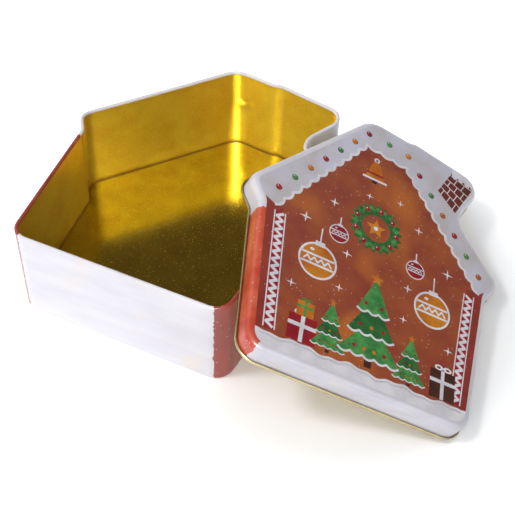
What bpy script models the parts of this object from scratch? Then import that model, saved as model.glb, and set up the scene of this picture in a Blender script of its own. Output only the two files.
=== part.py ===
import math

import bpy
import numpy as np

mm = 0.001

# Sheet and general gaps
sheet = 0.3 * mm
restGap = 0.3 * mm
floorGap = 0.3 * mm

# House outline of the box, seen from above, as corners before they are rounded.
# Across is measured from the middle of the front wall, up from its outer face.
baseHalf = 71.0 * mm
notchHalf = 80.0 * mm
notchUp = 99.0 * mm
eaveHalf = 89.5 * mm
eaveUp = 113.0 * mm
footAcross = 55.0 * mm
footUp = 152.5 * mm
chimneyAcross = 74.5 * mm
chimneyUp = 190.0 * mm
stepAcross = 20.0 * mm
stepUp = 200.0 * mm
kinkAcross = 14.0 * mm
kinkUp = 198.9 * mm
peakAcross = -15.5 * mm
peakUp = 202.3 * mm

# Rounding of those corners
baseRound = 12.2 * mm
notchRound = 7.0 * mm
eaveRound = 9.7 * mm
footRound = 15.1 * mm
chimneyRound = 12.1 * mm
stepRound = 7.0 * mm
kinkRound = 6.0 * mm
peakRound = 16.2 * mm

# Wall of the box: a bent strip with a flange turned in below and a hem rolled in above
wallHeight = 66.0 * mm
bendRadius = 1.0 * mm
flangeWidth = 3.2 * mm
hemRadius = 1.25 * mm
hemTurn = math.radians(295)

# Dimple pressed outwards in the wall beside the peak
dimpleAcross = -6.0 * mm
dimpleHeight = 37.0 * mm
dimpleHalfWidth = 8.0 * mm
dimpleHalfHeight = 6.5 * mm
dimpleDepth = 1.1 * mm

# Bottom plate: flat rim on the flange, then a low step up to the floor panel
plateRim = 2.6 * mm
plateSlope = 1.2 * mm
plateRise = 0.8 * mm

# Lid: one drawn piece with a soft shoulder, a skirt and a curl rolled outwards
lidHeight = 14.0 * mm
lidClearance = 0.35 * mm
shoulderRadius = 4.5 * mm
curlRadius = 0.95 * mm
curlTurn = math.radians(285)

# Where the lid leans: the place of its own origin and its turn, seen from above
lidAcross = 147.65 * mm
lidUp = 0.42 * mm
lidTurn = math.radians(17.6)

# Fineness of arcs and of the strip around the dimple
arcStep = math.radians(15)
rollStep = math.radians(36)
dimpleStep = 2.2 * mm


def unit(vector):
    return vector / np.linalg.norm(vector)


def outwards(direction):
    return np.array([direction[1], -direction[0]])


def ring_middle():
    """Distance from the front wall's outer face back to the middle of the flat ring it stands on."""
    return (bendRadius + flangeWidth) / 2


def house_outline():
    """Points of the wall's outer face and their outward normals, anticlockwise from the front left."""
    corners = [
        (-baseHalf, 0.0, baseRound),
        (baseHalf, 0.0, baseRound),
        (notchHalf, notchUp, notchRound),
        (eaveHalf, eaveUp, eaveRound),
        (footAcross, footUp, footRound),
        (chimneyAcross, chimneyUp, chimneyRound),
        (stepAcross, stepUp, stepRound),
        (kinkAcross, kinkUp, kinkRound),
        (peakAcross, peakUp, peakRound),
        (-eaveHalf, eaveUp, eaveRound),
        (-notchHalf, notchUp, notchRound),
    ]
    corners = [(across, up - ring_middle(), radius) for across, up, radius in corners]
    places = [np.array(corner[:2]) for corner in corners]
    points = []
    normals = []
    for index, (across, up, radius) in enumerate(corners):
        here = np.array((across, up))
        before = unit(here - places[index - 1])
        after = unit(places[(index + 1) % len(corners)] - here)
        turn = math.atan2(before[0] * after[1] - before[1] * after[0], before @ after)
        side = 1.0 if turn > 0 else -1.0
        reach = radius * math.tan(abs(turn) / 2)
        centre = here - before * reach - outwards(before) * radius * side
        count = max(2, math.ceil(abs(turn) / arcStep) + 1)
        start = outwards(before)
        for angle in np.linspace(0.0, turn, count):
            cosine = math.cos(angle)
            sine = math.sin(angle)
            normal = np.array((cosine * start[0] - sine * start[1], sine * start[0] + cosine * start[1]))
            points.append(centre + normal * radius * side)
            normals.append(normal)
    return divided_near_dimple(np.array(points), np.array(normals))


def divided_near_dimple(points, normals):
    """Adds points on the straight edge that the dimple sits on."""
    made = []
    facing = []
    middle = np.array((dimpleAcross, dimple_up(points)))
    for index, point in enumerate(points):
        made.append(point)
        facing.append(normals[index])
        following = points[(index + 1) % len(points)]
        length = np.linalg.norm(following - point)
        along = unit(following - point)
        place = (middle - point) @ along
        low = max(0.0, place - dimpleHalfWidth)
        high = min(length, place + dimpleHalfWidth)
        away = abs((middle - point) @ outwards(along))
        if away > dimpleHalfWidth or high - low < dimpleStep or length < 2 * dimpleStep:
            continue
        count = math.ceil((high - low) / dimpleStep)
        for part in np.linspace(low, high, count + 1):
            if dimpleStep / 2 < part < length - dimpleStep / 2:
                made.append(point + along * part)
                facing.append(outwards(along))
    return np.array(made), np.array(facing)


def dimple_up(points):
    """Height in plan of the back wall where the dimple is."""
    following = np.roll(points, -1, axis=0)
    found = -math.inf
    for start, end in zip(points, following):
        if start[0] >= dimpleAcross > end[0]:
            share = (dimpleAcross - start[0]) / (end[0] - start[0])
            found = max(found, start[1] + share * (end[1] - start[1]))
    return found


def arc(centre, radius, first, last, count):
    return [
        (centre[0] + radius * math.cos(angle), centre[1] + radius * math.sin(angle))
        for angle in np.linspace(first, last, count + 1)
    ]


def ring(outline, offset, height):
    points, normals = outline
    flat = points + normals * offset
    return np.column_stack([flat, np.full(len(flat), height)])


def swept(name, rings, closed):
    """Joins rings of equal length; a closed sweep ends where it began, an open one gets two caps."""
    size = len(rings[0])
    count = len(rings)
    vertices = np.concatenate(rings)
    faces = []
    for index in range(count if closed else count - 1):
        low = index * size
        high = ((index + 1) % count) * size
        for step in range(size):
            after = (step + 1) % size
            faces.append((low + step, low + after, high + after, high + step))
    if not closed:
        faces.append(tuple(reversed(range(size))))
        last = (count - 1) * size
        faces.append(tuple(range(last, last + size)))
    mesh = bpy.data.meshes.new(name)
    mesh.from_pydata(vertices.tolist(), [], faces)
    mesh.update()
    piece = bpy.data.objects.new(name, mesh)
    bpy.context.scene.collection.objects.link(piece)
    return piece


def painted(piece, colour, metallic, roughness):
    material = bpy.data.materials.new(piece.name)
    material.use_nodes = True
    shader = material.node_tree.nodes["Principled BSDF"]
    shader.inputs["Base Color"].default_value = (*colour, 1.0)
    shader.inputs["Metallic"].default_value = metallic
    shader.inputs["Roughness"].default_value = roughness
    piece.data.materials.append(material)


def wall_profile():
    """Offset and height of each point, from the flange's edge up the outer face and down the inner one."""
    bend = (-bendRadius, bendRadius)
    hem = (-hemRadius, wallHeight - hemRadius)
    quarter = math.pi / 2
    bendCount = 3
    hemCount = math.ceil(hemTurn / rollStep)
    rows = dimple_rows()
    outer = [(-flangeWidth, 0.0)]
    outer += arc(bend, bendRadius, -quarter, 0.0, bendCount)
    outer += [(0.0, row) for row in rows]
    outer += arc(hem, hemRadius, 0.0, hemTurn, hemCount)
    inner = arc(hem, hemRadius - sheet, hemTurn, 0.0, hemCount)
    inner += [(-sheet, row) for row in reversed(rows)]
    inner += arc(bend, bendRadius - sheet, 0.0, -quarter, bendCount)
    inner += [(-flangeWidth, sheet)]
    return outer + inner


def dimple_rows():
    count = math.ceil(2 * dimpleHalfHeight / dimpleStep)
    return list(np.linspace(dimpleHeight - dimpleHalfHeight, dimpleHeight + dimpleHalfHeight, count + 1))


def dimpled(outline, vertices):
    """Pushes the wall outwards where the dimple is, fading to nothing at its edge."""
    points, normals = outline
    nearest = int(np.argmin(np.abs(points[:, 0] - dimpleAcross) - points[:, 1]))
    middle = np.array((dimpleAcross, dimple_up(points)))
    direction = normals[nearest]
    along = np.array((-direction[1], direction[0]))
    aside = (vertices[:, :2] - middle) @ along / dimpleHalfWidth
    above = (vertices[:, 2] - dimpleHeight) / dimpleHalfHeight
    inside = np.abs((vertices[:, :2] - middle) @ direction) < dimpleHalfWidth
    reach = np.minimum(1.0, np.hypot(aside, above))
    push = dimpleDepth * np.cos(reach * math.pi / 2) ** 2 * inside
    moved = vertices.copy()
    moved[:, :2] += push[:, None] * direction
    return moved


def make_wall(outline):
    rings = [dimpled(outline, ring(outline, offset, height)) for offset, height in wall_profile()]
    wall = swept("body_wall", rings, True)
    painted(wall, (0.85, 0.83, 0.84), 0.0, 0.3)


def make_plate(outline):
    edge = -bendRadius
    under = sheet + restGap
    slopeStart = edge - plateRim
    slopeEnd = slopeStart - plateSlope
    rings = [
        ring(outline, slopeEnd, under + plateRise),
        ring(outline, slopeStart, under),
        ring(outline, edge, under),
        ring(outline, edge, under + sheet),
        ring(outline, slopeStart, under + sheet),
        ring(outline, slopeEnd, under + plateRise + sheet),
    ]
    plate = swept("bottom_plate", rings, False)
    painted(plate, (0.55, 0.42, 0.10), 1.0, 0.25)


def lid_profile():
    """Offset and height of each point, from the top panel down the outside, round the curl and up the inside."""
    inside = lidClearance
    outside = lidClearance + sheet
    shoulder = (outside - shoulderRadius, lidHeight - shoulderRadius)
    curl = (inside + curlRadius, curlRadius)
    quarter = math.pi / 2
    shoulderCount = 5
    curlCount = math.ceil(curlTurn / rollStep)
    outer = arc(shoulder, shoulderRadius, quarter, 0.0, shoulderCount)
    outer += arc(curl, curlRadius - sheet, math.pi, math.pi + curlTurn, curlCount)
    inner = arc(curl, curlRadius, math.pi + curlTurn, math.pi, curlCount)
    inner += arc(shoulder, shoulderRadius - sheet, 0.0, quarter, shoulderCount)
    return outer + inner


def turned(lean, cant, height):
    """Rotation and place of the lid: turned about the vertical, leaning sideways, then canted forwards."""
    c1, s1 = math.cos(lidTurn), math.sin(lidTurn)
    c2, s2 = math.cos(lean), math.sin(lean)
    c3, s3 = math.cos(cant), math.sin(cant)
    aboutZ = np.array(((c1, -s1, 0), (s1, c1, 0), (0, 0, 1)))
    aboutY = np.array(((c2, 0, s2), (0, 1, 0), (-s2, 0, c2)))
    aboutX = np.array(((1, 0, 0), (0, c3, -s3), (0, s3, c3)))
    return aboutZ @ aboutY @ aboutX, np.array((lidAcross, lidUp, height))


def clear_at_crossings(upper, lower):
    """Distance between the two rolled edges wherever they cross in plan, from front to back."""
    found = []
    ahead = np.roll(upper, -1, axis=0) - upper
    beside = np.roll(lower, -1, axis=0) - lower
    for start, way in zip(upper, ahead):
        across = way[0] * beside[:, 1] - way[1] * beside[:, 0]
        safe = np.where(np.abs(across) < 1e-15, 1e-15, across)
        apart = lower - start
        onUpper = (apart[:, 0] * beside[:, 1] - apart[:, 1] * beside[:, 0]) / safe
        onLower = (apart[:, 0] * way[1] - apart[:, 1] * way[0]) / safe
        hits = (onUpper >= 0) & (onUpper < 1) & (onLower >= 0) & (onLower < 1)
        for hit in np.flatnonzero(hits):
            normal = unit(np.cross(way, beside[hit]))
            if normal[2] < 0:
                normal = -normal
            place = start + way * onUpper[hit]
            found.append((place[1], (start - lower[hit]) @ normal))
    found.sort()
    return found[0][1], found[-1][1]


def leaning_pose(outline):
    """Lean, cant and height at which the curl rests on the hem in two places and on the floor."""
    curlAxis = ring(outline, lidClearance + curlRadius, curlRadius)
    hemAxis = ring(outline, -hemRadius, wallHeight - hemRadius)

    def faults(values):
        rotation, place = turned(*values)
        axis = curlAxis @ rotation.T + place
        front, back = clear_at_crossings(axis, hemAxis)
        wanted = curlRadius + hemRadius + restGap
        return np.array((front - wanted, back - wanted, axis[:, 2].min() - curlRadius - floorGap))

    values = np.array((math.radians(25), math.radians(5), wallHeight / 2))
    for _ in range(20):
        fault = faults(values)
        steps = np.diag((1e-5, 1e-5, 1e-7))
        slopes = np.column_stack([(faults(values + step) - fault) / step.sum() for step in steps])
        values = values - np.linalg.solve(slopes, fault)
    return turned(*values)


def make_lid(outline):
    rings = [ring(outline, offset, height) for offset, height in lid_profile()]
    rotation, place = leaning_pose(outline)
    rings = [flat @ rotation.T + place for flat in rings]
    rings.reverse()
    lid = swept("lid", rings, False)
    painted(lid, (0.50, 0.20, 0.14), 0.0, 0.3)


for thing in list(bpy.data.objects):
    bpy.data.objects.remove(thing)
houseOutline = house_outline()
make_wall(houseOutline)
make_plate(houseOutline)
make_lid(houseOutline)
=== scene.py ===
import math

import bpy
import numpy as np
from mathutils import Matrix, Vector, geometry


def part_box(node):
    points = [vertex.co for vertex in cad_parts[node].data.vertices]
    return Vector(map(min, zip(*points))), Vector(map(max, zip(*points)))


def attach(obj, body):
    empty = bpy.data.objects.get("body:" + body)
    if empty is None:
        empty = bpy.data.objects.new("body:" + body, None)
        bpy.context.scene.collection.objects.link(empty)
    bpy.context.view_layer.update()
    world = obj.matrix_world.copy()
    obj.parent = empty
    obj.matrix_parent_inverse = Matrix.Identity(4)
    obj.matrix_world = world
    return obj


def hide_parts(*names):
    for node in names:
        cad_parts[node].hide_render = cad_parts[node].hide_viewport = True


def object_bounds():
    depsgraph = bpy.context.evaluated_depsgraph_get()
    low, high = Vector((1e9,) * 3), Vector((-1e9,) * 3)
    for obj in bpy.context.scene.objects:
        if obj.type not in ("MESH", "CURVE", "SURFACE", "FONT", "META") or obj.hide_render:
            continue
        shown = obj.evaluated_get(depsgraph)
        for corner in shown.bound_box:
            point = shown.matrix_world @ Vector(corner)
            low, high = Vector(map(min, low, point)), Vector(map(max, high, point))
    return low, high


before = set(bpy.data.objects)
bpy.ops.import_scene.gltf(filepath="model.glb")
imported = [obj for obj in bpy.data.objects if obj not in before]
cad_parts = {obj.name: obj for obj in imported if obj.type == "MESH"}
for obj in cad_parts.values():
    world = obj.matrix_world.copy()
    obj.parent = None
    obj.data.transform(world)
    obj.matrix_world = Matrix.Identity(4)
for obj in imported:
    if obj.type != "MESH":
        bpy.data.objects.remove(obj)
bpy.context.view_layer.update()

mm = 0.001      # lengths in the dictionaries are in millimetres, unless their comment says otherwise


# sRGB hex value to linear light, with alpha 1
def colour(code):
    values = np.array([int(code[i:i + 2], 16) for i in (1, 3, 5)]) / 255
    return (*np.where(values > 0.04045, ((values + 0.055) / 1.055) ** 2.4, values / 12.92), 1.0)


# Adds one node. Settings go to its sockets or its own properties, links to its sockets.
def addNode(tree, kind, settings=(), links=()):
    node = tree.nodes.new(kind)
    for name, value in dict(settings).items():
        if isinstance(name, int) or name in node.inputs:
            node.inputs[name].default_value = value
        else:
            setattr(node, name, value)
    for name, source in dict(links).items():
        tree.links.new(source, node.inputs[name])
    return node


# New material, whose shader has the given values on its own sockets
def newMaterial(name, settings):
    material = bpy.data.materials.new(name)
    material.use_nodes = True
    shader = material.node_tree.nodes["Principled BSDF"]
    for socket, value in settings.items():
        shader.inputs[socket].default_value = value
    return material, material.node_tree, shader


# House outline, as corners before rounding: across, up and radius. The wall's outer face follows it.
house = dict(
    corners=(
        (-71.0, 0.0, 12.2), (71.0, 0.0, 12.2), (80.0, 99.0, 7.0), (89.5, 113.0, 9.7),
        (55.0, 152.5, 15.1), (74.5, 190.0, 12.1), (20.0, 200.0, 7.0), (14.0, 198.9, 6.0),
        (-15.5, 202.3, 16.2), (-89.5, 113.0, 9.7), (-80.0, 99.0, 7.0),
    ),
    frontToRing=2.1,        # from the front face back to the middle of the ring it stands on
    arcStep=4.0,            # degrees
    edgeStep=1.8,
)


# Rounded polygon. Each corner's arc runs at equal angles, and each straight stretch is divided evenly.
# Gives points, outward normals and the distance along, anticlockwise from the front left, in metres.
def houseOutline():
    corners = np.array(house["corners"]) * mm
    corners[:, 1] -= house["frontToRing"] * mm
    places = corners[:, :2]
    radii = corners[:, 2]
    before = places - np.roll(places, 1, axis=0)
    before /= np.linalg.norm(before, axis=1)[:, None]
    after = np.roll(before, -1, axis=0)
    turns = np.arctan2(before[:, 0] * after[:, 1] - before[:, 1] * after[:, 0], (before * after).sum(1))
    sides = np.sign(turns)
    outward = np.column_stack([before[:, 1], -before[:, 0]])
    cutBack = (radii * np.tan(np.abs(turns) / 2))[:, None]
    centres = places - before * cutBack - outward * (radii * sides)[:, None]
    arcs = []
    for place, normal, turn, radius, side in zip(centres, outward, turns, radii, sides):
        count = max(3, math.ceil(abs(math.degrees(turn)) / house["arcStep"]) + 1)
        angle = np.linspace(0, turn, count)
        facing = np.column_stack([
            np.cos(angle) * normal[0] - np.sin(angle) * normal[1],
            np.sin(angle) * normal[0] + np.cos(angle) * normal[1],
        ])
        arcs.append((place + facing * radius * side, facing))
    points = []
    normals = []
    for index, (arc, facing) in enumerate(arcs):
        following = arcs[(index + 1) % len(arcs)][0][0]
        length = np.linalg.norm(following - arc[-1])
        count = max(1, math.ceil(length / (house["edgeStep"] * mm)))
        share = np.linspace(0, 1, count + 1)[1:-1, None]
        points += [arc, arc[-1] + share * (following - arc[-1])]
        normals += [facing, np.repeat(facing[-1:], count - 1, axis=0)]
    points = np.concatenate(points)
    normals = np.concatenate(normals)
    steps = np.linalg.norm(np.roll(points, -1, axis=0) - points, axis=1)
    return points, normals, np.concatenate([[0], np.cumsum(steps)])


# Points on a circle between two angles in degrees, as offset and height
def arcRows(centre, radius, first, last, step):
    angle = np.radians(np.linspace(first, last, math.ceil(abs(last - first) / step) + 1))
    return np.column_stack([centre[0] + radius * np.cos(angle), centre[1] + radius * np.sin(angle)])


# Points at one offset, evenly spaced between two heights, without the two ends
def straightRows(offset, first, last, step):
    height = np.linspace(first, last, math.ceil(abs(last - first) / step) + 1)[1:-1]
    return np.column_stack([np.full(len(height), offset), height])


# Carries a profile round the outline: a point moves out along the normal by its offset, and up by its height
def carried(outline, profile):
    points, normals, _ = outline
    flat = points[None] + normals[None] * profile[:, :1, None]
    height = np.broadcast_to(profile[:, 1, None, None], (*flat.shape[:2], 1))
    return np.concatenate([flat, height], axis=2)


# Normals of a grid that closes on itself along its columns: the cross product of its two directions
def gridNormals(grid, closedRows):
    along = np.roll(grid, -1, axis=1) - np.roll(grid, 1, axis=1)
    if closedRows:
        up = np.roll(grid, -1, axis=0) - np.roll(grid, 1, axis=0)
    else:
        up = np.gradient(grid, axis=0)
    normal = np.cross(along, up)
    return normal / np.maximum(np.linalg.norm(normal, axis=2, keepdims=True), 1e-12)


# Eases bends: each normal becomes the mean of those near it along the outline, weighted by a bell curve,
# as sheet metal never goes from flat to round at once
def eased(normals, outline, reach):
    distance = outline[2]
    apart = np.abs(distance[:-1, None] - distance[None, :-1])
    apart = np.minimum(apart, distance[-1] - apart)
    weight = np.exp(-0.5 * (apart / reach) ** 2) * np.diff(distance)
    mean = weight @ normals
    return mean / np.linalg.norm(mean, axis=2, keepdims=True)


# Quads of a grid whose columns close, with the distance along and the distance down the profile as UV
def gridFaces(rows, columns, distance, drop, closedRows):
    strips = rows if closedRows else rows - 1
    row = np.repeat(np.arange(strips), columns)
    column = np.tile(np.arange(columns), strips)
    nextRow, nextColumn = (row + 1) % rows, (column + 1) % columns
    faces = np.column_stack([
        row * columns + column, row * columns + nextColumn,
        nextRow * columns + nextColumn, nextRow * columns + column,
    ])
    start, end = distance[column], distance[column + 1]
    across = np.column_stack([start, end, end, start])
    down = np.column_stack([drop[row], drop[row], drop[nextRow], drop[nextRow]])
    return faces, np.stack([across, down], axis=2), row


# Makes a mesh from points, faces, their material numbers, UV of each corner and a normal for each point
def newPiece(name, points, faces, paint, cornerUv, normals, materials):
    mesh = bpy.data.meshes.new(name)
    mesh.from_pydata(points.tolist(), [], [list(face) for face in faces])
    for material in materials:
        mesh.materials.append(material)
    mesh.polygons.foreach_set("material_index", np.asarray(paint, np.int32))
    layer = mesh.uv_layers.new(name="printMap")
    layer.data.foreach_set("uv", np.concatenate([np.asarray(uv).reshape(-1) for uv in cornerUv]))
    mesh.shade_smooth()
    mesh.normals_split_custom_set_from_vertices(normals.tolist())
    piece = bpy.data.objects.new(name, mesh)
    bpy.context.scene.collection.objects.link(piece)
    return piece


# Round flecks scattered through cells of one size: a point is in a fleck where it is near its cell's middle,
# and only a share of the cells, picked by their random red, has one
def flecks(tree, place, size, reach, share):
    cell = addNode(tree, "ShaderNodeTexVoronoi", {"Scale": 1 / (size * mm)}, {"Vector": place})
    near = addNode(tree, "ShaderNodeMath", {"operation": "LESS_THAN", 1: reach},
                   {0: cell.outputs["Distance"]})
    hue = addNode(tree, "ShaderNodeSeparateColor", (), {"Color": cell.outputs["Color"]})
    rare = addNode(tree, "ShaderNodeMath", {"operation": "GREATER_THAN", 1: 1 - share},
                   {0: hue.outputs["Red"]})
    shown = addNode(tree, "ShaderNodeMath", {"operation": "MULTIPLY"},
                    {0: near.outputs[0], 1: rare.outputs[0]})
    return shown.outputs[0]


# What a user may change in the gold lacquer. Scales are per metre: 60 gives clouds about 17 mm across. The
# grain and the streaks are finer on real tin, and are drawn as coarse as they need to show.
gold = dict(
    cloudScale=60.0, grainSize=0.9, waveScale=28.0,
    grainDepth=0.04, waveDepth=0.4, streakDepth=0.05,
    streakWidth=0.7, streakLength=16.0,
    # Painted shade: a brown band darkens the lacquer along the seam at the foot of the walls
    seamShadeBelow=0.8, seamShadeTo=1.2, seamShadeTint="#8A5E1C",
    # Painted glints: pale, rough flecks of lacquer stand in for sparkles of light
    glintSize=0.8, glintReach=0.2, glintTint="#F8E68A", glintRoughness=0.45,
    satin=0.4,              # how much of the mirror a fully drawn wall loses
)


# Gold lacquer: clear yellow lacquer stoved on rolled tinplate. It gives a saturated metal mirror under a
# gloss coat, with a fine grain. On drawn walls it is satin, with upright streaks that spread a reflection
# sideways, and a painted shade darkens it to a brown line along the seam at the foot. Sparkle is the share
# of its cells that have a painted glint, a paler and rougher fleck.
def goldLacquer(name, tint, roughness, sparkle, drawn=0.0):
    material, tree, shader = newMaterial(name, {
        "Metallic": 1.0 - gold["satin"] * drawn, "Roughness": roughness,
        "Coat Weight": 0.8, "Coat Roughness": 0.08,
    })
    place = addNode(tree, "ShaderNodeTexCoord").outputs["Object"]
    cloud = addNode(tree, "ShaderNodeTexNoise", {"Scale": gold["cloudScale"], "Detail": 3.0},
                    {"Vector": place})
    grain = addNode(tree, "ShaderNodeTexNoise", {"Scale": 1 / (gold["grainSize"] * mm), "Detail": 2.0},
                    {"Vector": place})
    both = addNode(tree, "ShaderNodeMath", {"operation": "MULTIPLY"},
                   {0: cloud.outputs["Fac"], 1: grain.outputs["Fac"]})
    mottled = addNode(tree, "ShaderNodeMapRange", {"From Min": 0.15, "From Max": 0.38},
                      {"Value": both.outputs[0]})
    warm = addNode(tree, "ShaderNodeMix", {"data_type": "RGBA", 6: colour(tint[0]), 7: colour(tint[1])},
                   {0: mottled.outputs[0]})
    wave = addNode(tree, "ShaderNodeTexNoise", {"Scale": gold["waveScale"], "Detail": 1.0},
                   {"Vector": place})
    rolled = addNode(tree, "ShaderNodeBump", {"Strength": 0.4, "Distance": gold["grainDepth"] * mm},
                     {"Height": grain.outputs["Fac"]})
    relief = addNode(tree, "ShaderNodeBump", {"Strength": 0.35, "Distance": gold["waveDepth"] * mm},
                     {"Height": wave.outputs["Fac"], "Normal": rolled.outputs["Normal"]})
    if drawn:
        height = addNode(tree, "ShaderNodeSeparateXYZ", (), {"Vector": place}).outputs["Z"]
        # Painted shade: the lacquer turns darker and browner towards the seam at the foot of the wall
        seamShade = addNode(tree, "ShaderNodeMapRange", {
            "From Min": gold["seamShadeBelow"] * mm, "From Max": gold["seamShadeTo"] * mm,
            "To Min": 0.8, "To Max": 0.0,
        }, {"Value": height})
        warm = addNode(tree, "ShaderNodeMix", {"data_type": "RGBA", 7: colour(gold["seamShadeTint"])},
                       {0: seamShade.outputs[0], 6: warm.outputs[2]})
        layer = addNode(tree, "ShaderNodeUVMap", {"uv_map": "printMap"})
        closeness = (1 / (gold["streakWidth"] * mm), 1 / (gold["streakLength"] * mm), 1.0)
        upright = addNode(tree, "ShaderNodeMapping", {"Scale": closeness}, {"Vector": layer.outputs["UV"]})
        streak = addNode(tree, "ShaderNodeTexNoise", {"Scale": 1.0, "Detail": 2.0},
                         {"Vector": upright.outputs[0]})
        relief = addNode(tree, "ShaderNodeBump", {"Strength": drawn, "Distance": gold["streakDepth"] * mm},
                         {"Height": streak.outputs["Fac"], "Normal": relief.outputs["Normal"]})
    tree.links.new(relief.outputs["Normal"], shader.inputs["Normal"])
    if not sparkle:
        tree.links.new(warm.outputs[2], shader.inputs["Base Color"])
        return material
    # Painted glints: a share of the cells gets a pale, rougher fleck as sparkle
    shown = flecks(tree, place, gold["glintSize"], gold["glintReach"], sparkle)
    glint = addNode(tree, "ShaderNodeMix", {"data_type": "RGBA", 7: colour(gold["glintTint"])},
                    {0: shown, 6: warm.outputs[2]})
    tree.links.new(glint.outputs[2], shader.inputs["Base Color"])
    rough = addNode(tree, "ShaderNodeMapRange", {"To Min": roughness, "To Max": gold["glintRoughness"]},
                    {"Value": shown})
    tree.links.new(rough.outputs[0], shader.inputs["Roughness"])
    return material


# Cloudy mix of two print colours, with brush streaks drawn out along one direction
def brushed(tree, place, first, second, stretch, scale):
    mapped = addNode(tree, "ShaderNodeMapping", {"Scale": stretch}, {"Vector": place})
    noise = addNode(tree, "ShaderNodeTexNoise", {"Scale": scale, "Detail": 4.0, "Roughness": 0.6},
                    {"Vector": mapped.outputs[0]})
    sharp = addNode(tree, "ShaderNodeMapRange", {"From Min": 0.35, "From Max": 0.65},
                    {"Value": noise.outputs["Fac"]})
    return addNode(tree, "ShaderNodeMix", {"data_type": "RGBA", 6: colour(first), 7: colour(second)},
                   {0: sharp.outputs[0]}).outputs[2]


# Offset litho print under a gloss varnish on tinplate: a smooth, evenly glossy coat
printFinish = {"Roughness": 0.38, "IOR": 1.5, "Coat Weight": 0.35, "Coat Roughness": 0.12}


# What a user may change in the print of the walls. Scales are per metre: 40 gives clouds about 25 mm across.
wallInk = dict(
    whiteScale=45.0, whiteStretch=(0.35, 0.35, 1.6), redScale=40.0, redStretch=(1.5, 1.5, 0.3),
    patchScale=32.0, patchTint="#F3E6DC",
    raggedScale=420.0, raggedReach=1.6,
    speckSize=3.2, speckReach=0.11, speckTint="#E9C9BE",
)


# Print of the walls: white with faint warm patches, and speckled red between given distances along the
# outline, with a ragged edge between them
def wallPrint(name, redSpans, white, red):
    material, tree, shader = newMaterial(name, printFinish)
    place = addNode(tree, "ShaderNodeTexCoord").outputs["Object"]
    snow = brushed(tree, place, *white, wallInk["whiteStretch"], wallInk["whiteScale"])
    brick = brushed(tree, place, *red, wallInk["redStretch"], wallInk["redScale"])
    patch = addNode(tree, "ShaderNodeTexNoise", {"Scale": wallInk["patchScale"], "Detail": 3.0},
                    {"Vector": place})
    worn = addNode(tree, "ShaderNodeMapRange", {"From Min": 0.56, "From Max": 0.7, "To Max": 0.55},
                   {"Value": patch.outputs["Fac"]})
    snow = addNode(tree, "ShaderNodeMix", {"data_type": "RGBA", 7: colour(wallInk["patchTint"])},
                   {0: worn.outputs[0], 6: snow}).outputs[2]
    layer = addNode(tree, "ShaderNodeUVMap", {"uv_map": "printMap"}).outputs["UV"]
    ragged = addNode(tree, "ShaderNodeTexNoise", {"Scale": wallInk["raggedScale"], "Detail": 3.0},
                     {"Vector": layer})
    reach = wallInk["raggedReach"] * mm
    shift = addNode(tree, "ShaderNodeMapRange", {"To Min": -reach, "To Max": reach},
                    {"Value": ragged.outputs["Fac"]})
    split = addNode(tree, "ShaderNodeSeparateXYZ", (), {"Vector": layer})
    along = addNode(tree, "ShaderNodeMath", {"operation": "ADD"},
                    {0: split.outputs["X"], 1: shift.outputs[0]}).outputs[0]
    mask = None
    for first, last in redSpans:
        above = addNode(tree, "ShaderNodeMath", {"operation": "GREATER_THAN", 1: first}, {0: along})
        below = addNode(tree, "ShaderNodeMath", {"operation": "LESS_THAN", 1: last}, {0: along})
        inside = addNode(tree, "ShaderNodeMath", {"operation": "MULTIPLY"},
                         {0: above.outputs[0], 1: below.outputs[0]})
        if mask:
            inside = addNode(tree, "ShaderNodeMath", {"operation": "MAXIMUM"},
                             {0: inside.outputs[0], 1: mask.outputs[0]})
        mask = inside
    cell = addNode(tree, "ShaderNodeTexVoronoi", {"Scale": 1 / (wallInk["speckSize"] * mm)},
                   {"Vector": place})
    dotted = addNode(tree, "ShaderNodeMath", {"operation": "LESS_THAN", 1: wallInk["speckReach"]},
                     {0: cell.outputs["Distance"]})
    speckled = addNode(tree, "ShaderNodeMix", {"data_type": "RGBA", 7: colour(wallInk["speckTint"])},
                       {0: dotted.outputs[0], 6: brick})
    both = addNode(tree, "ShaderNodeMix", {"data_type": "RGBA"},
                   {0: mask.outputs[0], 6: snow, 7: speckled.outputs[2]})
    tree.links.new(both.outputs[2], shader.inputs["Base Color"])
    return material


# What a user may change in every ink of the lid's print. The scale is per metre, as above.
lidInk = dict(glowScale=26.0, speckSize=1.9, speckReach=0.13, speckTint="#EBD9D2")


# One ink of the lid's print: a cloudy mix of two tones, which may glow in broad patches. Specks is the share
# of its cells that have a pale speck.
def ink(name, first, second, stretch=(1, 1, 1), scale=60.0, specks=0.0, glow=""):
    material, tree, shader = newMaterial(name, printFinish)
    place = addNode(tree, "ShaderNodeTexCoord").outputs["Object"]
    tone = brushed(tree, place, first, second, stretch, scale)
    if glow:
        patch = addNode(tree, "ShaderNodeTexNoise", {"Scale": lidInk["glowScale"], "Detail": 1.0},
                        {"Vector": place})
        lit = addNode(tree, "ShaderNodeMapRange", {"From Min": 0.56, "From Max": 0.74, "To Max": 0.8},
                      {"Value": patch.outputs["Fac"]})
        tone = addNode(tree, "ShaderNodeMix", {"data_type": "RGBA", 7: colour(glow)},
                       {0: lit.outputs[0], 6: tone}).outputs[2]
    if specks:
        shown = flecks(tree, place, lidInk["speckSize"], lidInk["speckReach"], specks)
        tone = addNode(tree, "ShaderNodeMix", {"data_type": "RGBA", 7: colour(lidInk["speckTint"])},
                       {0: shown, 6: tone}).outputs[2]
    tree.links.new(tone, shader.inputs["Base Color"])
    return material


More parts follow.
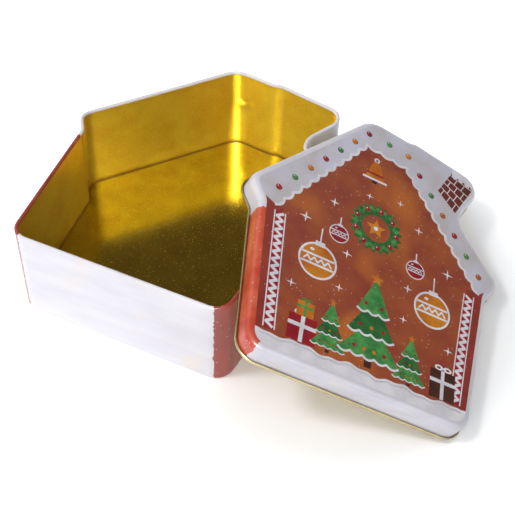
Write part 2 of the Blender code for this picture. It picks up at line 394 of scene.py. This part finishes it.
# The deep tub: a bent strip with a flange turned in below and a hem rolled in above
tub = dict(
    height=66.0, sheet=0.3, bendRadius=1.0, flangeWidth=3.2, hemRadius=1.25, hemTurn=295.0,
    rowStep=1.6, rollStep=14.0, bendEase=1.6,
    dimpleAcross=-6.0, dimpleHeight=37.0, dimpleHalfWidth=8.0, dimpleHalfHeight=6.5, dimpleDepth=1.6,
    redFront=64.0,          # across, where the white print ends on the front
    redSide=93.0,           # up, where the red of the side walls ends below the eaves
    redAcross=79.5,         # across, the side walls at that height
    redCorner=12.8,         # how far the red of the left wall reaches round the front corner
)


# Distance along the outline, in metres, of the point nearest to a place given in millimetres
def distanceAt(outline, across, up):
    points, _, distance = outline
    away = np.hypot(points[:, 0] - across * mm, points[:, 1] - (up - house["frontToRing"]) * mm)
    return distance[int(np.argmin(away))]


# Tub wall: up the outer face, round the hem and down the inner face, one sheet thick
def tubProfile():
    bend = (-tub["bendRadius"], tub["bendRadius"])
    hem = (-tub["hemRadius"], tub["height"] - tub["hemRadius"])
    low, high, sheet = bend[1], hem[1], tub["sheet"]
    outer = np.concatenate([
        [(-tub["flangeWidth"], 0)],
        arcRows(bend, tub["bendRadius"], -90, 0, tub["rollStep"]),
        straightRows(0, low, high, tub["rowStep"]),
        arcRows(hem, tub["hemRadius"], 0, tub["hemTurn"], tub["rollStep"]),
    ])
    inner = np.concatenate([
        arcRows(hem, tub["hemRadius"] - sheet, tub["hemTurn"], 0, tub["rollStep"]),
        straightRows(-sheet, high, low, tub["rowStep"]),
        arcRows(bend, tub["bendRadius"] - sheet, 0, -90, tub["rollStep"]),
        [(-tub["flangeWidth"], sheet)],
    ])
    return np.concatenate([outer, inner]) * mm, len(outer)


# Dimple: the wall is pushed outwards by the depth times the squared cosine of the distance from its middle
def dimpled(grid, outline):
    points, normals, _ = outline
    back = points[:, 1] > points[:, 1].max() * 0.7
    nearest = int(np.argmin(np.where(back, np.abs(points[:, 0] - tub["dimpleAcross"] * mm), 1)))
    middle, direction = points[nearest], normals[nearest]
    halfWidth = tub["dimpleHalfWidth"] * mm
    aside = (grid[..., :2] - middle) @ np.array((-direction[1], direction[0])) / halfWidth
    above = (grid[..., 2] / mm - tub["dimpleHeight"]) / tub["dimpleHalfHeight"]
    inside = np.abs((grid[..., :2] - middle) @ direction) < halfWidth
    away = np.minimum(1, np.hypot(aside, above))
    push = tub["dimpleDepth"] * mm * np.cos(away * math.pi / 2) ** 2 * inside
    moved = grid.copy()
    moved[..., :2] += push[..., None] * direction
    return moved


# Distance down a profile of each of its points: the running sum of the lengths between them
def profileLength(profile):
    return np.concatenate([[0], np.cumsum(np.linalg.norm(np.diff(profile, axis=0), axis=1))])


# Tub: its profile is carried round the outline and dimpled. Its outer rows are printed, and the rest gold.
def makeTub(outline, materials):
    profile, outerRows = tubProfile()
    grid = dimpled(carried(outline, profile), outline)
    rows, columns = grid.shape[:2]
    faces, uv, row = gridFaces(rows, columns, outline[2], profileLength(profile), True)
    paint = np.where(row < outerRows - 1, 0, 1)
    normals = eased(gridNormals(grid, True), outline, tub["bendEase"] * mm)
    piece = newPiece("tubWall", grid.reshape(-1, 3), faces, paint, [uv], normals.reshape(-1, 3), materials)
    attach(piece, "root")
    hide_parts("body_wall")
    print("tub wall:", len(faces), "faces")


# The bottom plate: flat rim on the flange, then a soft step up to the floor panel
plate = dict(edge=-1.0, rim=0.9, slope=0.8, rise=0.6, gap=0.3, slopeRows=8)


# Bottom plate: the step from rim to panel follows a cubic S curve, and two flat caps close it
def makePlate(outline, materials):
    share = np.linspace(0, 1, plate["slopeRows"])
    start = plate["edge"] - plate["rim"]
    low = tub["sheet"] + plate["gap"]
    smooth = share ** 2 * (3 - 2 * share)
    slope = np.column_stack([start - plate["slope"] * share, low + plate["rise"] * smooth])
    under = np.concatenate([slope[::-1], [(plate["edge"], low)]])
    profile = np.concatenate([under, under[::-1] + (0, tub["sheet"])]) * mm
    grid = carried(outline, profile)
    rows, columns = grid.shape[:2]
    faces, uv, _ = gridFaces(rows, columns, outline[2], profileLength(profile), False)
    normals = gridNormals(grid, False)
    normals[len(under) - 1:len(under) + 1] *= (1, 1, 0)
    normals[0] = normals[len(under) - 2] = (0, 0, -1)
    normals[-1] = normals[len(under) + 1] = (0, 0, 1)
    normals /= np.linalg.norm(normals, axis=2, keepdims=True)
    bottom = list(range(columns))[::-1]
    top = list(range((rows - 1) * columns, rows * columns))
    flat = grid.reshape(-1, 3)
    caps = [flat[bottom][:, :2], flat[top][:, :2]]
    piece = newPiece("floorPlate", flat, [*faces, bottom, top], np.zeros(len(faces) + 2), [uv, *caps],
                     normals.reshape(-1, 3), materials)
    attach(piece, "root")
    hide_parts("bottom_plate")
    print("floor plate:", len(faces), "faces")


# The lid: soft shoulder, skirt and a curl rolled outwards
cover = dict(
    height=14.0, clearance=0.35, shoulder=4.5, curlRadius=0.95, curlTurn=285.0, arcStep=9.0, rollStep=16.0,
    across=147.65, up=0.42, turn=17.6,
)


# Pose of the lid: its lean and cant are read from the face of its panel in the frame
def lidPose():
    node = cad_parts["lid"]
    largest = max(node.data.polygons, key=lambda face: face.area)
    turn = Matrix.Rotation(math.radians(cover["turn"]), 3, "Z")
    facing = turn.inverted() @ largest.normal
    facing *= math.copysign(1, facing.z)
    lean = Matrix.Rotation(math.atan2(facing.x, facing.z), 3, "Y")
    cant = Matrix.Rotation(-math.asin(facing.y), 3, "X")
    return np.array(turn @ lean @ cant), np.array((cover["across"] * mm, cover["up"] * mm, 0))


# Lid's profile: down the shoulder and skirt, round the curl, and back up the inside
def lidProfile():
    inside, outside = cover["clearance"], cover["clearance"] + tub["sheet"]
    middle = (outside - cover["shoulder"], cover["height"] - cover["shoulder"])
    curl = (inside + cover["curlRadius"], cover["curlRadius"])
    end = 180 + cover["curlTurn"]
    outer = np.concatenate([
        arcRows(middle, cover["shoulder"], 90, 0, cover["arcStep"]),
        straightRows(outside, middle[1], curl[1], tub["rowStep"]),
        arcRows(curl, cover["curlRadius"] - tub["sheet"], 180, end, cover["rollStep"]),
    ])
    inner = np.concatenate([
        arcRows(curl, cover["curlRadius"], end, 180, cover["rollStep"]),
        straightRows(inside, curl[1], middle[1], tub["rowStep"]),
        arcRows(middle, cover["shoulder"] - tub["sheet"], 0, 90, cover["arcStep"]),
    ])
    return np.concatenate([outer, inner]) * mm, len(outer)


# Closed outlines of the print's simple shapes, in millimetres on the lid's own plane
def disc(across, up, radius, tall=1.0, count=28):
    angle = np.linspace(0, 2 * math.pi, count, endpoint=False)
    return np.column_stack([across + radius * np.cos(angle), up + radius * tall * np.sin(angle)])


# Star: the radius swings between two values as the angle goes round
def star(across, up, radius, tips, depth, turn=90.0):
    angle = np.radians(turn) + np.arange(2 * tips) * math.pi / tips
    reach = np.where(np.arange(2 * tips) % 2 == 0, radius, radius * depth)
    return np.column_stack([across + reach * np.cos(angle), up + reach * np.sin(angle)])


# Upright rectangle
def block(left, low, right, high):
    return np.array(((left, low), (right, low), (right, high), (left, high)), float)


# Stroke: each stretch of a line becomes a thin block, a little longer than the stretch so that bends close
def stroke(points, width):
    points = np.asarray(points, float)
    way = np.diff(points, axis=0)
    way /= np.linalg.norm(way, axis=1)[:, None]
    side = np.column_stack([way[:, 1], -way[:, 0]]) * width / 2
    start, end = points[:-1] - way * width * 0.2, points[1:] + way * width * 0.2
    return np.stack([start + side, end + side, end - side, start - side], axis=1)


# Scalloped line: from one place to another, bulging to its right by half circles of sine shape
def scallops(start, end, count, depth, detail=8):
    start, end = np.array(start, float), np.array(end, float)
    share = np.linspace(0, 1, count * detail + 1)
    way = end - start
    right = np.array((way[1], -way[0])) / np.linalg.norm(way)
    return start + share[:, None] * way + np.abs(np.sin(share * count * math.pi))[:, None] * depth * right


# Part of the panel's edge between two places, as the edge's own points
def edgePart(edge, start, end):
    first = int(np.argmin(np.hypot(*(edge - start).T)))
    last = int(np.argmin(np.hypot(*(edge - end).T)))
    return edge[np.arange(first, last + 1 if last >= first else last + 1 + len(edge)) % len(edge)]


# The print: sizes and places of its motifs in millimetres, across from the middle and up from the front
printed = dict(
    inks=("gingerbread", "snowField", "sideRed", "candyRed", "icingWhite", "firGreen", "pineGreen",
          "amberGlow", "chocolate", "darkGinger"),
    column=(57.0, 64.0, 13.0, 93.0), columnLean=0.075, ricRac=15,
    trees=((2, 13, 40, 62), (-24, 12, 22, 34), (29, 12, 22, 32)),
    wreath=(-3, 112, 19, 10), berries=9,
    baubles=((-38, 70, 11.5, "amberGlow"), (41, 70, 11.5, "amberGlow"), (-27, 96, 6, "candyRed"),
             (27, 94, 6, "candyRed")),
    gifts=((-50, 12, 18, 17, "candyRed"), (-46, 29, 11, 10, "amberGlow"), (43, 12, 17, 19, "chocolate")),
    bell=(-8, 150, 8.5, 15),
    sparkles=((-50, 98, 4.2), (50, 101, 4.2), (-20, 84, 3.4), (23, 78, 3.4), (-33, 118, 3.6), (27, 125, 3.6),
              (-22, 58, 3.0), (22, 55, 3.0), (-10, 135, 2.8), (12, 140, 2.8), (-52, 48, 3.2), (54, 46, 3.2)),
    beadSpacing=15.5, beadRadius=2.0, beadWay=((-74, 106), (-17, 186), (13, 184), (76, 106)),
    foot=(68, 12), eave=(83, 97), sideField=((57.5, 12), (64.5, 96)), mound=(65, 10.5),
    scallops=(((-70.5, 97), (-17, 176), 11), ((-16, 176), (13, 172), 3), ((14, 172), (73.5, 97), 11)),
    chimney=(((38.5, 165.5), (52.5, 153.0)), ((49.0, 188.0), (67.0, 184.5))),
)


# Wavy line: a straight way with two sine waves of different length laid across it, which die out at its ends
def drifted(start, end, swing, waves, detail=60):
    start, end = np.array(start, float), np.array(end, float)
    share = np.linspace(0, 1, detail)
    side = np.array((end[1] - start[1], start[0] - end[0])) / np.linalg.norm(end - start)
    wave = np.sin(share * waves * 2 * math.pi) + 0.6 * np.sin(share * waves * 5.3 * math.pi + 1)
    swung = wave * np.sin(share * math.pi) ** 0.3 * swing
    return start + share[:, None] * (end - start) + swung[:, None] * side


# Fir tree: three tiers, each a triangle with a scalloped lower edge and a line of icing along it
def firTree(across, low, wide, tall):
    shapes = [("chocolate", block(across - wide * 0.06, low, across + wide * 0.06, low + tall * 0.16))]
    for tier in range(3):
        half = wide * (0.5 - 0.115 * tier)
        foot = low + tall * (0.11 + 0.25 * tier)
        top = min(low + tall, foot + tall * 0.42)
        edge = scallops((across - half, foot), (across + half, foot), 5 - tier, wide * 0.045)
        shapes.append(("firGreen" if tier != 1 else "pineGreen", np.concatenate([edge, [(across, top)]])))
        shapes.append(("icingWhite", stroke(edge, wide * 0.035)))
        for share in np.linspace(-0.5, 0.5, 4 - tier):
            bead = "candyRed" if round(share * 10) % 2 else "amberGlow"
            shapes.append((bead, disc(across + half * share, foot + tall * 0.075, wide * 0.032, count=12)))
    shapes.append(("amberGlow", star(across, low + tall, wide * 0.12, 5, 0.45)))
    return shapes


# Hanging ball: a cord, a cap, the ball, a ring of white round its middle and a bright spot
def bauble(across, up, radius, paint):
    cap = radius * 0.28
    shapes = [
        ("icingWhite", stroke(((across, up + radius), (across, up + radius * 2.1)), 0.9)),
        ("icingWhite", disc(across, up, radius * 1.12, count=40)),
        (paint, disc(across, up, radius, count=40)),
        ("icingWhite", block(across - cap, up + radius * 0.92, across + cap, up + radius * 1.22)),
    ]
    reach = np.linspace(-0.96, 0.96, 25) * radius
    for level in (-0.28, 0.28):
        line = np.column_stack([across + reach * (1 - level ** 2) ** 0.5 * 0.98,
                                np.full(len(reach), up + level * radius)])
        shapes.append(("icingWhite", stroke(line, radius * 0.13)))
    zigzag = np.column_stack([across + np.linspace(-0.8, 0.8, 9) * radius,
                              up + np.where(np.arange(9) % 2 == 0, -0.13, 0.13) * radius])
    shapes.append(("icingWhite", stroke(zigzag, radius * 0.1)))
    shapes.append(("icingWhite", disc(across - radius * 0.4, up + radius * 0.6, radius * 0.13, 0.7, 12)))
    return shapes


# Parcel: a box with crossed ribbons and two loops on top
def parcel(across, low, wide, tall, paint):
    right, high, half = across + wide, low + tall, wide * 0.07
    middle = across + wide / 2
    ribbon = "icingWhite" if paint != "amberGlow" else "firGreen"
    loops = [(ribbon, disc(middle + side * wide * 0.17, high + wide * 0.1, wide * 0.17, 0.62, 20))
             for side in (-1, 1)]
    holes = [("gingerbread", disc(middle + side * wide * 0.18, high + wide * 0.1, wide * 0.08, 0.6, 14))
             for side in (-1, 1)]
    return [*loops, *holes, (paint, block(across, low, right, high)),
            (ribbon, block(middle - half, low, middle + half, high)),
            (ribbon, block(across, low + tall * 0.55, right, low + tall * 0.55 + half * 2))]


# Wreath: three toothed rings of leaves laid over each other, berries all round and a small star in its hole
def wreath(across, up, radius, hole):
    shapes = [("pineGreen", star(across, up, radius, 22, 0.84)),
              ("firGreen", star(across, up, radius * 0.9, 20, 0.86)),
              ("pineGreen", star(across, up, radius * 0.74, 18, 0.85)),
              ("gingerbread", disc(across, up, hole))]
    for angle in np.linspace(0, 2 * math.pi, printed["berries"], endpoint=False):
        place = across + math.cos(angle) * radius * 0.76, up + math.sin(angle) * radius * 0.76
        shapes += [("candyRed", disc(*place, radius * 0.105, count=16)),
                   ("icingWhite", disc(place[0] - 0.5, place[1] + 0.6, 0.5, count=8))]
    return shapes + [("amberGlow", star(across, up, hole * 0.72, 5, 0.45)),
                     ("icingWhite", disc(across, up, hole * 0.16, count=12))]


# Bell: a dome whose side, a quarter ellipse, flares at the lip by a falling exponential, with a band, a ring
# on top and a clapper
def bell(across, low, half, tall):
    share = np.linspace(0, 1, 24)
    reach = half * (0.62 * np.sqrt(1 - share ** 2) + 0.38 * np.exp(-6 * share))
    right = np.column_stack([across + reach, low + share * tall])
    left = np.column_stack([across - reach, low + share * tall])[::-1]
    lip = block(across - half * 1.04, low - half * 0.12, across + half * 1.04, low + half * 0.08)
    band = block(across - half * 0.7, low + tall * 0.24, across + half * 0.7, low + tall * 0.34)
    return [("icingWhite", disc(across, low + tall * 1.08, half * 0.24, count=20)),
            ("gingerbread", disc(across, low + tall * 1.08, half * 0.12, count=14)),
            ("chocolate", disc(across, low - half * 0.2, half * 0.24, count=16)),
            ("amberGlow", np.concatenate([right, left])), ("icingWhite", lip), ("candyRed", band)]


# Side column: a red strip with a zigzag of icing, edged with two thin lines
def column(side):
    inner, outer, low, high = printed["column"]
    lean = (high - low) * printed["columnLean"]
    strip = np.array(((inner, low), (outer, low), (outer + lean, high), (inner + lean, high)))
    count = 2 * printed["ricRac"] + 1
    up = np.linspace(low + 1, high - 1, count)
    middle = (inner + outer) / 2 + (up - low) * printed["columnLean"]
    swing = np.where(np.arange(count) % 2 == 0, -1, 1) * (outer - inner) * 0.3
    zigzag = stroke(np.column_stack([middle + swing, up]), 1.9)
    flip = np.array((side, 1))
    return [("candyRed", strip * flip), ("icingWhite", zigzag * flip),
            ("icingWhite", stroke(strip[[0, 3]] * flip, 0.8)),
            ("icingWhite", stroke(strip[[1, 2]] * flip, 0.8))]


# Beads along a way, each a coloured disc on a darker one with a bright spot
def beads(way):
    way = np.array(way, float)
    reach = np.concatenate([[0], np.cumsum(np.linalg.norm(np.diff(way, axis=0), axis=1))])
    radius = printed["beadRadius"]
    shapes = []
    for index, place in enumerate(np.arange(6, reach[-1], printed["beadSpacing"])):
        across, up = (np.interp(place, reach, way[:, axis]) for axis in (0, 1))
        paint = ("candyRed", "firGreen", "amberGlow")[index % 3]
        shapes += [("darkGinger", disc(across + 0.25, up - 0.3, radius * 1.06, count=18)),
                   (paint, disc(across, up, radius, count=18)),
                   ("icingWhite", disc(across - radius * 0.3, up + radius * 0.35, radius * 0.22, count=8))]
    return shapes


# Chimney face: courses of bricks with joints between them, under a dripping cap of icing
def chimneyBricks():
    low, high = np.array(printed["chimney"])
    shapes = [("darkGinger", np.array((low[0], low[1], high[1], high[0])))]
    courses = 5
    for course in range(courses):
        ends = [low + (high - low) * (course + step) / courses for step in (0, 1)]
        if course:
            shapes.append(("icingWhite", stroke(ends[0], 0.6)))
        for share in ((0.33, 0.67) if course % 2 else (0.17, 0.5, 0.83)):
            joint = [end[0] + (end[1] - end[0]) * share for end in ends]
            shapes.append(("icingWhite", stroke(joint, 0.6)))
    drips = scallops(high[0] + (-0.8, -3.5), high[1] + (0.4, -3.5), 4, 2.6)
    return [*shapes, ("icingWhite", np.concatenate([drips, [high[1] + (0.8, 2.0), high[0] + (-0.8, 2.5)]]))]


# Fields and motifs of the print, each as an ink and a closed outline, painted in this order
def lidDesign(edge):
    shapes = [("gingerbread", edge)]
    flip = np.array((-1, 1))
    foot, eave, field = (np.array(printed[name]) for name in ("foot", "eave", "sideField"))
    leftSide = edgePart(edge, eave * flip, foot * flip)
    rightSide = edgePart(edge, foot, eave)
    shapes.append(("sideRed", np.concatenate([leftSide, field * flip])))
    shapes.append(("sideRed", np.concatenate([rightSide, field[::-1]])))
    shapes += column(-1) + column(1)
    for across, up, radius in printed["sparkles"]:
        shapes += [("icingWhite", star(across, up, radius, 4, 0.22)),
                   ("icingWhite", disc(across, up, radius * 0.24, count=10))]
    shapes += wreath(*printed["wreath"]) + bell(*printed["bell"])
    for place in printed["baubles"]:
        shapes += bauble(*place)
    for place in printed["gifts"]:
        shapes += parcel(*place)
    for place in printed["trees"][::-1]:
        shapes += firTree(*place)
    bottom = edgePart(edge, foot * flip, foot)
    mound = np.array(printed["mound"])
    mounds = drifted(mound, mound * flip, 1.0, 4, 90)
    shapes.append(("icingWhite", np.concatenate([bottom, mounds])))
    shapes.append(("snowField", stroke(mounds - (0, 1.9), 1.0)))
    roof = edgePart(edge, eave, eave * flip)
    under = np.concatenate([scallops(*stretch, 2.0) for stretch in printed["scallops"]])
    shapes.append(("snowField", np.concatenate([roof, under])))
    shapes.append(("icingWhite", stroke(under, 1.9)))
    shapes += beads(printed["beadWay"])
    return shapes + chimneyBricks()


# Turns an outline round where its signed area is negative
def anticlockwise(outline):
    across, up = outline.T
    return outline if across @ np.roll(up, -1) > up @ np.roll(across, -1) else outline[::-1]


# Panel of the lid: all outlines are cut into one flat mesh, trimmed by the first, the panel's own edge.
# Each triangle takes the last ink laid over it.
def printedPanel(ring):
    shapes = []
    for paint, outline in lidDesign(ring / mm):
        parts = outline if outline.ndim == 3 else [outline]
        shapes += [(printed["inks"].index(paint), anticlockwise(part)) for part in parts]
    points = np.concatenate([outline for _, outline in shapes])
    ends = np.cumsum([len(outline) for _, outline in shapes])
    areas = [list(range(last - len(outline), last)) for last, (_, outline) in zip(ends, shapes)]
    flat, _, faces, _, _, under = geometry.delaunay_2d_cdt(points.tolist(), [], areas, 1, 1e-4, True)
    kept = [index for index, found in enumerate(under) if 0 in found]
    paint = [shapes[max(under[index])][0] for index in kept]
    print("print:", len(shapes), "shapes in", len(kept), "triangles")
    return np.array([tuple(point) for point in flat]) * mm, [faces[index] for index in kept], paint


# Lid: the shell goes round the outline, and the printed panel and a flat inner face close it. All of it is
# turned to its pose and set down, so that its lowest point is as low as the lid in the frame.
def makeLid(outline, materials):
    profile, outerRows = lidProfile()
    grid = carried(outline, profile)
    rows, columns = grid.shape[:2]
    faces, uv, row = gridFaces(rows, columns, outline[2], profileLength(profile), False)
    faces = faces[:, ::-1]
    uv = uv[:, ::-1]
    inks = len(printed["inks"])
    rolled = row < outerRows - 1 + math.ceil(cover["curlTurn"] / cover["rollStep"])
    paint = np.where(row < outerRows - 1, inks, np.where(rolled, inks + 2, inks + 1))
    normals = -gridNormals(grid, False)
    normals[0] = (0, 0, 1)
    normals[-1] = (0, 0, -1)
    panel, panelFaces, panelPaint = printedPanel(grid[0, :, :2])
    inner = list(range((rows - 1) * columns, rows * columns))[::-1]
    flat = grid.reshape(-1, 3)
    places = np.concatenate([flat, np.column_stack([panel, np.full(len(panel), grid[0, 0, 2])])])
    facing = np.concatenate([normals.reshape(-1, 3), np.tile((0.0, 0.0, 1.0), (len(panel), 1))])
    shifted = [[index + len(flat) for index in face] for face in panelFaces]
    allFaces = [list(face) for face in faces] + [inner] + shifted
    allUv = [uv, flat[inner][:, :2]] + [panel[list(face)] for face in panelFaces]
    allPaint = np.concatenate([paint, [inks + 1], panelPaint])
    rotation, place = lidPose()
    places = places @ rotation.T + place
    places[:, 2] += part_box("lid")[0].z - places[:, 2].min()
    piece = newPiece("lidShell", places, allFaces, allPaint, allUv, facing @ rotation.T, materials)
    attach(piece, "root")
    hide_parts("lid")
    print("lid:", len(allFaces), "faces")


# Camera, floor and lamps. Places and the gap under the tin are in millimetres, but the floor's side, the
# distances between which its own light rises, and the lamps' distances and sizes are in metres.
studio = dict(
    lens=74.42, place=(230.05, -341.38, 525.13), yaw=-22.518, pitch=47.703, roll=-2.470,
    aim=(60, 90, 30), floorSide=24.0, floorGap=0.2,
    liftMiddle=(110, 85, 0), floorLift=0.12, farLift=0.9, liftFrom=0.11, liftTo=0.21,
    liftTint=(0.97, 1.02, 1.08, 1),     # a little blue, against the warm light that the gold throws
    worldLevel=0.12, worldTint="#FFDDB5",
    # name, bearing, height, distance, width, height of the lamp, brightness, roll and what it lights
    lamps=(
        ("frontBox", 157, 40, 1.5, 1.4, 1.0, 0.6, 0, "matt"),
        ("frontWideBox", 158, 40, 1.5, 2.6, 1.0, 0.4, 0, "matt"),
        ("lowFrontBox", 168, 12, 1.6, 1.6, 0.5, 0.7, 0, "all"),
        ("topBox", 180, 74, 1.4, 1.5, 0.8, 0.75, 0, "all"),
        ("frontLeftBox", 218, 38, 1.5, 1.1, 1.0, 0.12, 0, "all"),
        ("leftBox", 268, 38, 1.5, 1.8, 1.0, 0.7, 0, "all"),
        ("rightBackBox", 22, 38, 1.5, 0.55, 0.28, 0.2, 0, "all"),
        ("leftFill", 230, 56, 1.5, 0.26, 0.26, 26.0, 0, "matt"),
        ("backBox", 5, 16, 2.0, 2.4, 0.7, 0.9, 0, "matt"),
        ("rightBox", 112, 27, 1.5, 1.2, 0.75, 1.6, -22, "mirrors"),
        ("peakBox", 170, 40, 1.5, 2.1, 1.0, 1.05, 0, "mirrors"),
        ("strobe", 163, 46, 1.5, 0.46, 0.16, 75, 0, "mirrors"),
    ),
)


# Camera: looks along the yaw and down by the pitch, then rolls about its own axis
def makeCamera():
    yaw, pitch, roll = (math.radians(studio[name]) for name in ("yaw", "pitch", "roll"))
    ahead = np.array((math.sin(yaw) * math.cos(pitch), math.cos(yaw) * math.cos(pitch), -math.sin(pitch)))
    right = np.cross(ahead, (0, 0, 1))
    right /= np.linalg.norm(right)
    down = np.cross(ahead, right)
    rolledRight = right * math.cos(roll) + down * math.sin(roll)
    rolledUp = -(down * math.cos(roll) - right * math.sin(roll))
    data = bpy.data.cameras.new("photoCamera")
    data.lens = studio["lens"]
    data.sensor_width = 36.0
    data.clip_end = 20.0
    camera = bpy.data.objects.new("photoCamera", data)
    axes = Matrix(np.column_stack([rolledRight, rolledUp, -ahead]).tolist()).to_4x4()
    axes.translation = [value * mm for value in studio["place"]]
    camera.matrix_world = axes
    bpy.context.scene.collection.objects.link(camera)
    bpy.context.scene.camera = camera
    print("camera ready")


# A soft box: a flat lamp that faces the tin from a bearing and a height in degrees, at a distance in metres.
# Its brightness is what a mirror would show of it; its power follows from that and its area. Matt surfaces
# or mirrors alone can be lit by it.
def softBox(name, bearing, height, away, wide, tall, brightness, roll, lights):
    data = bpy.data.lights.new(name, "AREA")
    data.shape = "RECTANGLE"
    data.size = wide
    data.size_y = tall
    data.energy = 4 * brightness * wide * tall
    lamp = bpy.data.objects.new(name, data)
    angle, lift = math.radians(bearing), math.radians(height)
    way = np.array((math.sin(angle) * math.cos(lift), math.cos(angle) * math.cos(lift), math.sin(lift)))
    right = np.array((-math.cos(angle), math.sin(angle), 0.0))
    axes = Matrix(np.column_stack([right, np.cross(way, right), way]).tolist()).to_4x4()
    axes.translation = np.array(studio["aim"]) * mm + way * away
    lamp.matrix_world = axes @ Matrix.Rotation(math.radians(roll), 4, "Z")
    lamp.visible_glossy = lights != "matt"
    lamp.visible_diffuse = lights != "mirrors"
    bpy.context.scene.collection.objects.link(lamp)


# White paper sweep: matt and bright. For the camera and for mirrors it has a little light of its own, which
# rises with the distance from the tin, so that only the tin's shadow shows on it.
def makeFloor():
    half = studio["floorSide"] / 2
    corners = [(-half, -half, 0), (half, -half, 0), (half, half, 0), (-half, half, 0)]
    mesh = bpy.data.meshes.new("floor")
    mesh.from_pydata(corners, [], [(0, 1, 2, 3)])
    floor = bpy.data.objects.new("floor", mesh)
    floor.location.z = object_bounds()[0][2] - studio["floorGap"] * mm
    bpy.context.scene.collection.objects.link(floor)
    material, tree, shader = newMaterial("paperSweep", {"Base Color": colour("#FCFCFC"), "Roughness": 0.9})
    path = addNode(tree, "ShaderNodeLightPath")
    mirrored = addNode(tree, "ShaderNodeMath", {"operation": "MAXIMUM"},
                       {0: path.outputs["Is Glossy Ray"], 1: path.outputs["Is Transmission Ray"]})
    looked = addNode(tree, "ShaderNodeMath", {"operation": "MAXIMUM"},
                     {0: path.outputs["Is Camera Ray"], 1: mirrored.outputs[0]})
    place = addNode(tree, "ShaderNodeTexCoord").outputs["Object"]
    middle = [value * mm for value in studio["liftMiddle"]]
    away = addNode(tree, "ShaderNodeVectorMath", {"operation": "DISTANCE", 1: middle},
                   {0: place}).outputs["Value"]
    level = addNode(tree, "ShaderNodeMapRange", {
        "From Min": studio["liftFrom"], "From Max": studio["liftTo"],
        "To Min": studio["floorLift"], "To Max": studio["farLift"],
    }, {"Value": away}).outputs[0]
    lift = addNode(tree, "ShaderNodeMath", {"operation": "MULTIPLY"}, {0: looked.outputs[0], 1: level})
    shader.inputs["Emission Color"].default_value = studio["liftTint"]
    tree.links.new(lift.outputs[0], shader.inputs["Emission Strength"])
    mesh.materials.append(material)


# Floor, lamps and a dim world, which mirrors see a little warmer
def makeStudio():
    scene = bpy.context.scene
    scene.view_settings.view_transform = "Standard"
    makeFloor()
    world = bpy.data.worlds.new("studioWorld")
    scene.world = world
    world.use_nodes = True
    path = addNode(world.node_tree, "ShaderNodeLightPath")
    tints = {"data_type": "RGBA", 6: (1, 1, 1, 1), 7: colour(studio["worldTint"])}
    tinted = addNode(world.node_tree, "ShaderNodeMix", tints, {0: path.outputs["Is Glossy Ray"]})
    background = world.node_tree.nodes["Background"]
    world.node_tree.links.new(tinted.outputs[2], background.inputs["Color"])
    background.inputs["Strength"].default_value = studio["worldLevel"]
    for lamp in studio["lamps"]:
        softBox(*lamp)
    print("studio:", len(studio["lamps"]), "lamps")


outline = houseOutline()
print("outline:", len(outline[0]), "points")
# Stretches of the outline that are printed red: the right side, the left side and the front's left corner
spans = [
    (distanceAt(outline, tub["redFront"], 0), distanceAt(outline, tub["redAcross"], tub["redSide"])),
    (distanceAt(outline, -tub["redAcross"], tub["redSide"]), outline[2][-1] + 1),
    (-1, tub["redCorner"] * mm),
]
wallFront = wallPrint("lithoPrintWall", spans, ("#F1EFF6", "#E4E1EA"), ("#9A3A2F", "#B04A3C"))
goldInside = goldLacquer("goldLacquerWall", ("#F8DC4C", "#EBC038"), 0.36, 0.0, 0.8)
# Painted shade: the floor's gold is a darker, more olive copy of the wall's, for the dimmer reflection on
# the floor
goldFloorShaded = goldLacquer("goldLacquerFloorShaded", ("#CEBC42", "#B09C2E"), 0.17, 0.12)
makeTub(outline, [wallFront, goldInside])
makePlate(outline, [goldFloorShaded])
# The lid's inks in the order of the print's own list, then its skirt, white on its right side and with
# its red painted lighter for the light on the left shoulder, and its gold
lidInks = [
    ink("inkGingerbread", "#94402F", "#AA5630", scale=50.0, specks=0.3, glow="#C8702A"),
    ink("inkSnowField", "#C9C3C6", "#D6D5E6", scale=40.0),
    ink("inkSideRed", "#8A3029", "#A03C30", specks=0.2),
    ink("inkCandyRed", "#B01828", "#8E1020"),
    ink("inkIcingWhite", "#F2F0F6", "#DCD8E0"),
    ink("inkFirGreen", "#2F7A3C", "#58A656", (3, 3, 0.6), specks=0.15),
    ink("inkPineGreen", "#1F5A2C", "#2F7A3C", (3, 3, 0.6), specks=0.15),
    ink("inkAmberGlow", "#D98A1E", "#B85A12"),
    ink("inkChocolate", "#3A1C18", "#4E2A20"),
    ink("inkDarkGinger", "#7A3226", "#5E2218", specks=0.2),
    # Painted light: the skirt's red print is lighter and more orange than the panel's, for the lit left
    # shoulder
    wallPrint("lithoPrintSkirtPaintedLight", spans[1:], ("#E4E2EC", "#D6D3DD"), ("#C4452E", "#DB6A4C")),
    goldLacquer("goldLacquerLid", ("#F1D94B", "#ECCF42"), 0.2, 0.0),
    # Painted reflection: the curl's gold is a paler, greyer copy, standing in for the white surroundings it
    # mirrors
    goldLacquer("goldLacquerCurlPaintedReflection", ("#BDB083", "#A79A70"), 0.3, 0.0),
]
makeLid(outline, lidInks)
makeCamera()
makeStudio()
